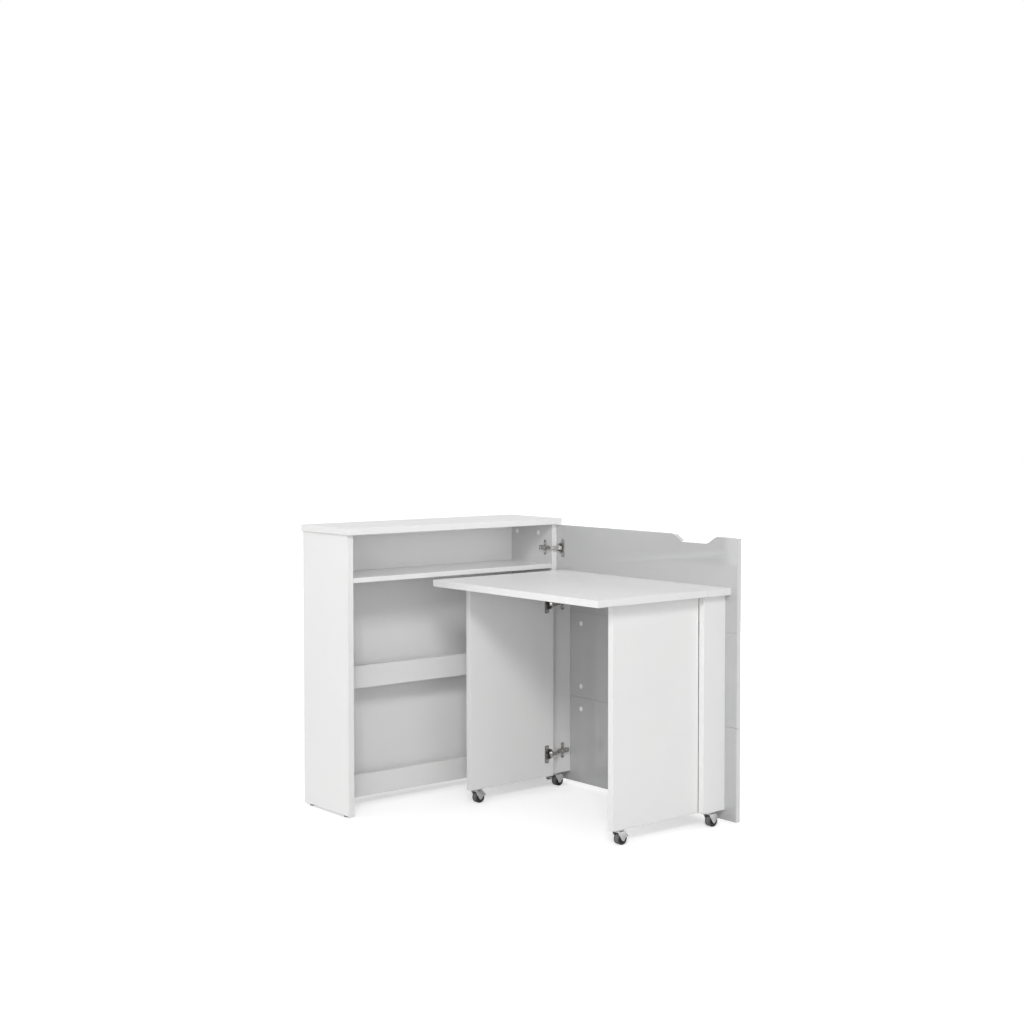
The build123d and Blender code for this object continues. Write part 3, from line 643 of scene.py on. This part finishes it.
def vector_of(tree, x=0.0, y=0.0, z=0.0):
    """A vector made of numbers or sockets."""
    return geometry_node(tree, "ShaderNodeCombineXYZ", X=x, Y=y, Z=z).outputs[0]


def joined(tree, *parts):
    """Several geometries as one."""
    join = tree.nodes.new("GeometryNodeJoinGeometry")
    for part in reversed(parts):
        tree.links.new(part, join.inputs[0])
    return join.outputs[0]


def moved(tree, part, x=0.0, y=0.0, z=0.0):
    """A geometry shifted by numbers or sockets."""
    return shape(tree, "Transform", Geometry=part, Translation=vector_of(tree, x, y, z))


DOME_POWER = 3.0                          # the dome is flat in its middle and steep at its rim
ABOVE_MIDDLE = 0.1 * MM


def domed_disc(tree, radius, height, crown, vertices=28):
    """A round plate about the origin; its upper face falls towards the rim by the crown."""
    disc = shape(tree, "MeshCylinder", Vertices=vertices, Side_Segments=2, Fill_Segments=4,
                 Radius=radius, Depth=height)
    place = tree.nodes.new("ShaderNodeSeparateXYZ")
    tree.links.new(tree.nodes.new("GeometryNodeInputPosition").outputs[0], place.inputs[0])
    x, y, z = (place.outputs[axis] for axis in "XYZ")
    squared = arithmetic(tree, "MULTIPLY_ADD", x, x, arithmetic(tree, "MULTIPLY", y, y))
    share = arithmetic(tree, "DIVIDE", arithmetic(tree, "SQRT", squared), radius)
    fall = arithmetic(tree, "MULTIPLY", arithmetic(tree, "POWER", share, DOME_POWER), crown)
    on_top = arithmetic(tree, "GREATER_THAN", z, ABOVE_MIDDLE)
    drop = arithmetic(tree, "MULTIPLY", arithmetic(tree, "MULTIPLY", fall, on_top), -1.0)
    return shape(tree, "SetPosition", Geometry=disc, Offset=vector_of(tree, z=drop))


def turned_to(tree, axis, direction):
    """The turn that points one axis of a sample along a direction."""
    turn = geometry_node(tree, "FunctionNodeAlignRotationToVector", {"axis": axis},
                         Vector=direction)
    return turn.outputs[0]


def end_tree(tree, entry, geometry):
    """Makes the instances real, gives them their finish, and ends the tree."""
    real = shape(tree, "RealizeInstances", Geometry=geometry)
    finish = shape(tree, "SetMaterial", Geometry=real, Material=entry["Finish"])
    tree.links.new(finish, tree.nodes.new("NodeGroupOutput").inputs["Pieces"])


def set_on_seats(tree, entry, sample):
    """Instances the sample on the seats, turned outwards, and ends the tree."""
    outwards = shape(tree, "InputNamedAttribute", {"data_type": "FLOAT_VECTOR"}, Name="outwards")
    placed = shape(tree, "InstanceOnPoints", Points=entry["Seats"], Instance=sample,
                   Rotation=turned_to(tree, "Z", outwards))
    end_tree(tree, entry, placed)


# %% Running a tree
def run_tree(name, tree, start, slot, sizes):
    """Runs a tree on the mesh that it starts from, and returns the result as a plain mesh."""
    carrier = bpy.data.objects.new(f"{name}_carrier", start)
    scene.collection.objects.link(carrier)
    modifier = carrier.modifiers.new("pieces", "NODES")
    modifier.node_group = tree
    sockets = {item.name: item.identifier for item in tree.interface.items_tree
               if item.in_out == "INPUT"}
    for key, value in sizes.items():
        modifier[sockets[key.replace("_", " ")]] = value
    modifier[sockets["Finish"]] = looks[slot]
    evaluated = carrier.evaluated_get(bpy.context.evaluated_depsgraph_get())
    mesh = bpy.data.meshes.new_from_object(evaluated)
    bpy.data.objects.remove(carrier)
    mesh.name = name
    return mesh


def grow(name, tree, seats, slot, **sizes):
    """Runs a tree on seats, given as (place, outwards) pairs, and returns the plain mesh."""
    start = bpy.data.meshes.new(f"{name}_seats")
    start.from_pydata([place for place, outwards in seats], [], [])
    directions = start.attributes.new("outwards", "FLOAT_VECTOR", "POINT")
    for index, (place, outwards) in enumerate(seats):
        directions.data[index].vector = outwards
    mesh = run_tree(name, tree, start, slot, sizes)
    print(f"{name}: {len(seats)} seats, {len(mesh.polygons)} faces")
    return mesh

# %% [markdown]
# ### Cross-recess screws
#
# Pressed-board furniture is full of pan-head screws. The sample is a domed head with a cross cut
# into it by a Boolean node, a shank with a helical thread, and a point. The shank stays inside the
# board, but the piece is a whole screw all the same, because it also has to make sense when it is
# taken out.

# %% The screw tree
SLOT_SHARE = 0.26                         # how wide a slot of the cross is for its length
SHANK_SIDES = 14
THREAD_HEIGHT = 0.45 * MM
POINT_LENGTH = 2.5 * MM


def make_screw_tree():
    """A domed head with a cross recess, a threaded shank and a point; z runs out of the head."""
    tree, entry = new_piece_tree("cross_recess_screws", {
        "Head radius": 4.0 * MM, "Head height": 1.5 * MM, "Crown": 0.5 * MM, "Recess": 2.4 * MM,
        "Recess depth": 0.9 * MM, "Shank radius": 1.6 * MM, "Shank length": 12.0 * MM,
        "Pitch": 1.6 * MM})
    disc = domed_disc(tree, entry["Head radius"], entry["Head height"], entry["Crown"])
    head = moved(tree, disc, z=arithmetic(tree, "MULTIPLY", entry["Head height"], 0.5))
    slot_width = arithmetic(tree, "MULTIPLY", entry["Recess"], SLOT_SHARE)
    deep = arithmetic(tree, "MULTIPLY", entry["Recess depth"], 2.0)
    bars = [shape(tree, "MeshCube", Size=vector_of(tree, *sides, deep))
            for sides in ((entry["Recess"], slot_width), (slot_width, entry["Recess"]))]
    cross = moved(tree, joined(tree, *bars), z=entry["Head height"])
    cut = shape(tree, "MeshBoolean", {"operation": "DIFFERENCE", "solver": "EXACT"},
                Mesh_1=head, Mesh_2=cross, Self_Intersection=True)
    radius, length = entry["Shank radius"], entry["Shank length"]
    tip = arithmetic(tree, "MULTIPLY", length, -1.0)
    shank = shape(tree, "MeshCylinder", Vertices=SHANK_SIDES, Radius=radius, Depth=length)
    shank = moved(tree, shank, z=arithmetic(tree, "MULTIPLY", length, -0.5))
    turns = arithmetic(tree, "DIVIDE", length, entry["Pitch"])
    helix = shape(tree, "CurveSpiral", Resolution=SHANK_SIDES, Rotations=turns,
                  Start_Radius=radius, End_Radius=radius, Height=length)
    ridge = shape(tree, "CurvePrimitiveCircle", Resolution=4, Radius=THREAD_HEIGHT)
    thread = shape(tree, "CurveToMesh", Curve=helix, Profile_Curve=ridge, Fill_Caps=True)
    thread = moved(tree, thread, z=tip)
    point = shape(tree, "MeshCone", Vertices=SHANK_SIDES, Radius_Top=0.0, Radius_Bottom=radius,
                  Depth=POINT_LENGTH)
    point = shape(tree, "Transform", Geometry=point, Rotation=(math.pi, 0, 0))
    point = moved(tree, point, z=tip)
    set_on_seats(tree, entry, joined(tree, cut, shank, thread, point))
    return tree


screw_tree = make_screw_tree()

# %% The screws through the hinges' mounting plates
LEFT, FRONT, BACK = Vector((-1, 0, 0)), Vector((0, -1, 0)), Vector((0, 1, 0))
SCREW_HEAD_HEIGHT = 1.5 * MM


def seats_under_heads(boxes, axis, outwards):
    """The seats of a group of screws: the middle of each box, at the underside of its head."""
    seats = []
    for low, high in boxes:
        seat = (low + high) / 2
        face = low[axis] if outwards[axis] < 0 else high[axis]
        seat[axis] = face - outwards[axis] * SCREW_HEAD_HEIGHT
        seats.append((seat, outwards))
    return seats


door_seats = seats_under_heads(door_screws, 0, LEFT)
rear_screws = [box for box in leg_screws if box[0].y > 0]
front_screws = [box for box in leg_screws if box[0].y < 0]
leg_seats = seats_under_heads(rear_screws, 1, FRONT) + seats_under_heads(front_screws, 1, BACK)
plate_screw = dict(Head_radius=4.0 * MM, Head_height=SCREW_HEAD_HEIGHT, Recess=4.6 * MM,
                   Recess_depth=1.1 * MM, Shank_radius=1.9 * MM, Shank_length=12.5 * MM)
for name, seats, node in (("door_plate_screws", door_seats, "door_hinge_screws"),
                          ("leg_plate_screws", leg_seats, "leg_hinge_screws")):
    mesh = grow(name, screw_tree, seats, "screw_steel", **plate_screw)
    finished_piece(name, mesh, body_of[node], "screw_steel", [node])

# %% [markdown]
# ### The other screws of the hinges
#
# Each cup is held by two screws through its flange. Each arm has two more: one sets the gap, and
# one fixes the arm to its plate. They show as two dark crosses in a row.

# %% Screws in the cups' ears
EAR_OFFSET = 9.5 * MM
EAR_SPACING = 24 * MM
EAR_SINK = 0.8 * MM                       # from the flange's face down to a head's underside
CUP_RADIUS = 19 * MM
ear_screw = dict(Head_radius=3.6 * MM, Head_height=1.3 * MM, Crown=0.4 * MM, Recess=4.4 * MM,
                 Recess_depth=0.9 * MM, Shank_radius=1.5 * MM, Shank_length=11.0 * MM)


def ear_seats(node, axis, outwards):
    """The seats of the ear screws: two for each cup, in the flange's face."""
    seats = []
    across = 1 - axis
    for low, high in islands(node):
        face = low[axis] if outwards[axis] < 0 else high[axis]
        for side in (-1, 1):
            seat = (low + high) / 2
            seat[across] = high[across] - CUP_RADIUS - EAR_OFFSET
            seat.z += side * EAR_SPACING
            seat[axis] = face - outwards[axis] * EAR_SINK
            seats.append((seat, outwards))
    return seats


for node, axis, outwards in (("door_hinge_cups", 0, LEFT), ("rear_leg_hinge_cups", 1, FRONT),
                             ("front_leg_hinge_cups", 1, BACK)):
    name = node.replace("hinge_cups", "cup_screws")
    mesh = grow(name, screw_tree, ear_seats(node, axis, outwards), "screw_steel", **ear_screw)
    finished_piece(name, mesh, body_of[node], "screw_steel")

# %% Adjusting screws in the arms
PLATE_THICKNESS = 2.5 * MM
ARM_RISE = 11.5 * MM
ADJUSTERS = (-8 * MM, 13 * MM)            # along the arm, from its middle
adjuster = dict(Head_radius=3.4 * MM, Head_height=0.9 * MM, Crown=0.2 * MM, Recess=4.0 * MM,
                Recess_depth=0.7 * MM, Shank_radius=2.0 * MM, Shank_length=7.5 * MM)


def adjuster_seats(screw_boxes, axis, outwards):
    """Two seats on the web of every arm; each arm stands midway between its plate's two screws."""
    seats = []
    for lower, upper in zip(screw_boxes[::2], screw_boxes[1::2]):
        middle = (lower[0] + lower[1] + upper[0] + upper[1]) / 4
        face = lower[0][axis] if outwards[axis] < 0 else lower[1][axis]
        board_face = face - outwards[axis] * (SCREW_HEAD_HEIGHT + PLATE_THICKNESS)
        for along in ADJUSTERS:
            seat = middle.copy()
            seat[1 - axis] += along
            seat[axis] = board_face + outwards[axis] * ARM_RISE
            seats.append((seat, outwards))
    return seats


door_adjusters = adjuster_seats(door_screws, 0, LEFT)
leg_adjusters = adjuster_seats(rear_screws, 1, FRONT) + adjuster_seats(front_screws, 1, BACK)
for name, seats, node in (("door_arm_adjusters", door_adjusters, "door_hinge_arms"),
                          ("leg_arm_adjusters", leg_adjusters, "leg_hinge_arms")):
    mesh = grow(name, screw_tree, seats, "screw_steel", **adjuster)
    finished_piece(name, mesh, body_of[node], "screw_steel")

# %% Screws through the casters' top plates
CASTER_SCREW_SPACING = 15 * MM
CASTER_PLATE_THICKNESS = 3 * MM
DOWN = Vector((0, 0, -1))
caster_screw = dict(Head_radius=2.9 * MM, Head_height=1.1 * MM, Crown=0.4 * MM, Recess=2.6 * MM,
                    Recess_depth=0.6 * MM, Shank_radius=1.5 * MM, Shank_length=14.0 * MM)

for node in ("rear_leg_caster_plate", "front_leg_caster_plate", "fin_caster_plates"):
    seats = []
    for low, high in islands(node):
        for side in (-1, 1):
            seat = (low + high) / 2
            seat.x += side * CASTER_SCREW_SPACING
            seat.z = high.z - CASTER_PLATE_THICKNESS
            seats.append((seat, DOWN))
    name = node.replace("plates", "plate").replace("plate", "screws")
    mesh = grow(name, screw_tree, seats, "screw_steel", **caster_screw)
    finished_piece(name, mesh, body_of[node], "screw_steel")

# %% [markdown]
# ### Cover caps
#
# A cam fitting leaves a round hole in the face of a board, and a pressed-in white cap hides it. The
# cap is slightly domed, with a small step at its rim and a nick where a blade lifts it out.

# %% The cap tree
CAP_SIDES = 48
NICK_DEPTH = 4 * MM                       # more than a cap's height, so that it cuts right through


def make_cap_tree():
    """A domed disc with a nick in its edge, half sunk into the board; z runs out of the board."""
    tree, entry = new_piece_tree("cover_caps", {
        "Radius": 9.0 * MM, "Height": 2.4 * MM, "Dome": 0.8 * MM, "Nick": 1.6 * MM})
    cap = domed_disc(tree, entry["Radius"], entry["Height"], entry["Dome"], CAP_SIDES)
    nick = shape(tree, "MeshCube", Size=vector_of(tree, entry["Nick"], entry["Nick"], NICK_DEPTH))
    nick = moved(tree, nick, y=arithmetic(tree, "MULTIPLY", entry["Radius"], -1.0))
    cut = shape(tree, "MeshBoolean", {"operation": "DIFFERENCE", "solver": "EXACT"},
                Mesh_1=cap, Mesh_2=nick)
    set_on_seats(tree, entry, cut)
    return tree


cap_tree = make_cap_tree()

# %% Caps on the door and inside the carcass
for node in ("door_cam_caps", "carcass_cam_caps"):
    seats = []
    boxes = islands(node)
    radius = (boxes[0][1].z - boxes[0][0].z) / 2
    thickness = boxes[0][1].x - boxes[0][0].x
    for low, high in boxes:
        middle = (low + high) / 2
        inwards = 1 if middle.x < 0 else -1
        board_face = (low.x if inwards > 0 else high.x) + inwards * thickness / 2
        seats.append((Vector((board_face, middle.y, middle.z)), Vector((inwards, 0, 0))))
    mesh = grow(f"{node}_domed", cap_tree, seats, "white_plastic", Radius=radius,
                Height=thickness)
    # The caps inside the carcass take the painted-shade grey.
    if node == "carcass_cam_caps":
        mesh.materials[0] = painted_shade_cap
    finished_piece(f"{node}_domed", mesh, body_of[node], "white_plastic", [node])
    print(node, "radius", round(radius / MM, 2), "thickness", round(thickness / MM, 2))

# %% [markdown]
# ## Casters
#
# Small furniture casters have a pressed fork, a rubber tread and a nylon hub. The tread and the hub
# are lathed from a half-section. The hub's ribs repeat around the axle, so a geometry tree adds
# them.

# %% Lathe a closed half-section about an axle that runs along y
LATHE_STEPS = 72
LATHE_CREASE = math.radians(35)


def lathe(name, section, centre):
    """Turns a closed section of (radius, along the axle) points about the axle; returns a mesh."""
    work = bmesh.new()
    rings = []
    for step in range(LATHE_STEPS):
        angle = 2 * math.pi * step / LATHE_STEPS
        across, up = math.cos(angle), math.sin(angle)
        rings.append([work.verts.new(centre + Vector((radius * across, along, radius * up)))
                      for radius, along in section])
    count = len(section)
    for step, ring in enumerate(rings):
        following = rings[(step + 1) % LATHE_STEPS]
        for index in range(count):
            after = (index + 1) % count
            work.faces.new((ring[index], ring[after], following[after], following[index]))
    bmesh.ops.recalc_face_normals(work, faces=work.faces)
    mesh = bpy.data.meshes.new(name)
    work.to_mesh(mesh)
    work.free()
    mesh.shade_smooth()
    mesh.set_sharp_from_angle(angle=LATHE_CREASE)
    return mesh


def mirrored(half):
    """A section whose second half repeats the first on the other side of the wheel's middle."""
    return half + [(radius, -along) for radius, along in reversed(half)]

# %% The sections of the tread and the hub
TYRE_RADIUS, TYRE_HALF, SHOULDER = 18 * MM, 12 * MM, 3 * MM
GROOVE_PLACE, GROOVE_HALF, GROOVE_DEPTH = 5.0 * MM, 0.7 * MM, 0.9 * MM
TREAD_START = 1.5 * MM                    # the first point beside the tread's middle
SIDE_RECESS, BEAD_RECESS, BEAD = 0.5 * MM, 0.9 * MM, 0.6 * MM
SIDEWALL_TURN = 0.3                       # past this slope the tread is moulded in black
HUB_RADIUS, HUB_HALF, BORE_RADIUS = 13 * MM, 11 * MM, 2.7 * MM
RIM_CHAMFER, RIM_WIDTH, RIM_FOOT = 0.5 * MM, 2 * MM, 2.4 * MM
WEB_HALF = 4.5 * MM
BOSS_FOOT, BOSS_RADIUS, BOSS_TOP = 5.4 * MM, 5.0 * MM, 4.6 * MM
BOSS_RECESS, BOSS_CHAMFER = 0.6 * MM, 0.4 * MM


def tyre_section():
    """Half of the tread: a groove, a round shoulder, a recessed side, and the bead on the hub."""
    floor, middle = TYRE_RADIUS - GROOVE_DEPTH, GROOVE_HALF / 2
    groove = [(TYRE_RADIUS, GROOVE_PLACE - GROOVE_HALF), (floor, GROOVE_PLACE - middle),
              (floor, GROOVE_PLACE + middle), (TYRE_RADIUS, GROOVE_PLACE + GROOVE_HALF)]
    inner, outer = TYRE_RADIUS - SHOULDER, TYRE_HALF - SHOULDER
    arc = [(inner + SHOULDER * math.cos(turn), outer + SHOULDER * math.sin(turn))
           for turn in (math.radians(15 * step) for step in range(7))]
    side = [(inner - BEAD, TYRE_HALF - SIDE_RECESS), (HUB_RADIUS + BEAD, TYRE_HALF - SIDE_RECESS),
            (HUB_RADIUS, TYRE_HALF - BEAD_RECESS)]
    return mirrored([(TYRE_RADIUS, TREAD_START)] + groove + arc + side)


def hub_section():
    """Half of the hub: its rim, its recessed web, and the boss on the axle."""
    boss_half = HUB_HALF - BOSS_RECESS
    return mirrored([
        (HUB_RADIUS, HUB_HALF - RIM_CHAMFER), (HUB_RADIUS - RIM_CHAMFER, HUB_HALF),
        (HUB_RADIUS - RIM_WIDTH, HUB_HALF), (HUB_RADIUS - RIM_FOOT, WEB_HALF),
        (BOSS_FOOT, WEB_HALF), (BOSS_RADIUS, boss_half - BOSS_CHAMFER), (BOSS_TOP, boss_half),
        (BORE_RADIUS, boss_half)])


print("section points:", len(tyre_section()), "in the tread,", len(hub_section()), "in the hub")

# %% The ribs between the hub's rim and its boss
def make_rib_tree():
    """Adds flat ribs around an axle that runs along y to the wheel that comes in."""
    tree, entry = new_piece_tree("hub_ribs", {
        "Ribs": 8, "Ring radius": 8.0 * MM, "Rib length": 6.4 * MM, "Rib width": 19.0 * MM,
        "Rib thickness": 1.1 * MM, "Axle x": 0.0, "Axle y": 0.0, "Axle z": 0.0})
    ring = shape(tree, "MeshCircle", Vertices=entry["Ribs"], Radius=entry["Ring radius"])
    size = vector_of(tree, entry["Rib length"], entry["Rib thickness"], entry["Rib width"])
    ribs = shape(tree, "InstanceOnPoints", Points=ring, Instance=shape(tree, "MeshCube", Size=size),
                 Rotation=turned_to(tree, "X", shape(tree, "InputPosition")))
    upright = shape(tree, "Transform", Geometry=ribs, Rotation=(math.pi / 2, 0, 0))
    placed = moved(tree, upright, entry["Axle x"], entry["Axle y"], entry["Axle z"])
    end_tree(tree, entry, joined(tree, entry["Seats"], placed))
    return tree


rib_tree = make_rib_tree()

# %% The four wheels
CORNERS = ("rear_leg", "front_leg", "rear_fin", "front_fin")
for corner in CORNERS:
    wheel_node, tyre_node = f"{corner}_caster_wheel", f"{corner}_caster_tyre"
    low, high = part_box(wheel_node)
    centre = (low + high) / 2
    lathed = lathe(f"{corner}_hub_lathe", hub_section(), centre)
    axle = dict(zip(("Axle x", "Axle y", "Axle z"), centre))
    hub = run_tree(f"{corner}_ribbed_hub", rib_tree, lathed, "wheel_plastic", axle)
    tread = lathe(f"{corner}_tread", tyre_section(), centre)
    for finish in (looks["tyre_rubber"], sidewall):
        tread.materials.append(finish)
    for face in tread.polygons:
        face.material_index = int(abs(face.normal.y) > SIDEWALL_TURN)
    finished_piece(f"{corner}_ribbed_hub", hub, body_of[wheel_node], "wheel_plastic", [wheel_node])
    finished_piece(f"{corner}_tread", tread, body_of[tyre_node], "tyre_rubber", [tyre_node])
print("hub faces:", len(hub.polygons), "tread faces:", len(tread.polygons))

# %% [markdown]
# ## Rounded edges on pressed steel
#
# Steel that has been stamped and bent has no knife edges: a thin bright line follows every edge.
# Each pressed part is copied from its CAD node, welded, and given a narrow bevel. Its size doesn't
# change, because a bevel only takes material away.

# %% Bevelled copies of the pressed parts
CORNER_ANGLE, BEVEL_CREASE = math.radians(35), math.radians(40)
BEVEL_WELD = 0.002 * MM
SHEET_EDGE, PLATE_EDGE = 0.25 * MM, 0.35 * MM


def bevelled(node, width, slot):
    """A welded copy of a CAD node with narrow rounded edges, standing for that node."""
    work = merged_copy(node)
    corners = [edge for edge in work.edges if len(edge.link_faces) == 2
               and edge.calc_face_angle(0) > CORNER_ANGLE]
    bmesh.ops.bevel(work, geom=corners, offset=width, segments=2, profile=0.5, affect="EDGES",
                    clamp_overlap=True)
    bmesh.ops.remove_doubles(work, verts=work.verts, dist=BEVEL_WELD)
    open_edges = sum(1 for edge in work.edges if len(edge.link_faces) != 2)
    mesh = bpy.data.meshes.new(f"{node}_pressed")
    work.to_mesh(mesh)
    work.free()
    mesh.shade_smooth()
    mesh.set_sharp_from_angle(angle=BEVEL_CREASE)
    finished_piece(f"{node}_pressed", mesh, body_of[node], slot, [node])
    print(f"{node}: {len(mesh.polygons)} faces, {open_edges} open edges")


for corner in CORNERS:
    bevelled(f"{corner}_caster_fork", SHEET_EDGE, "caster_steel")
for node in ("door_hinge_arms", "leg_hinge_arms", "door_hinge_links", "rear_leg_hinge_links",
             "front_leg_hinge_links"):
    bevelled(node, SHEET_EDGE, "nickel_steel")
for node in ("door_hinge_plates", "leg_hinge_plates"):
    bevelled(node, PLATE_EDGE, "nickel_steel")
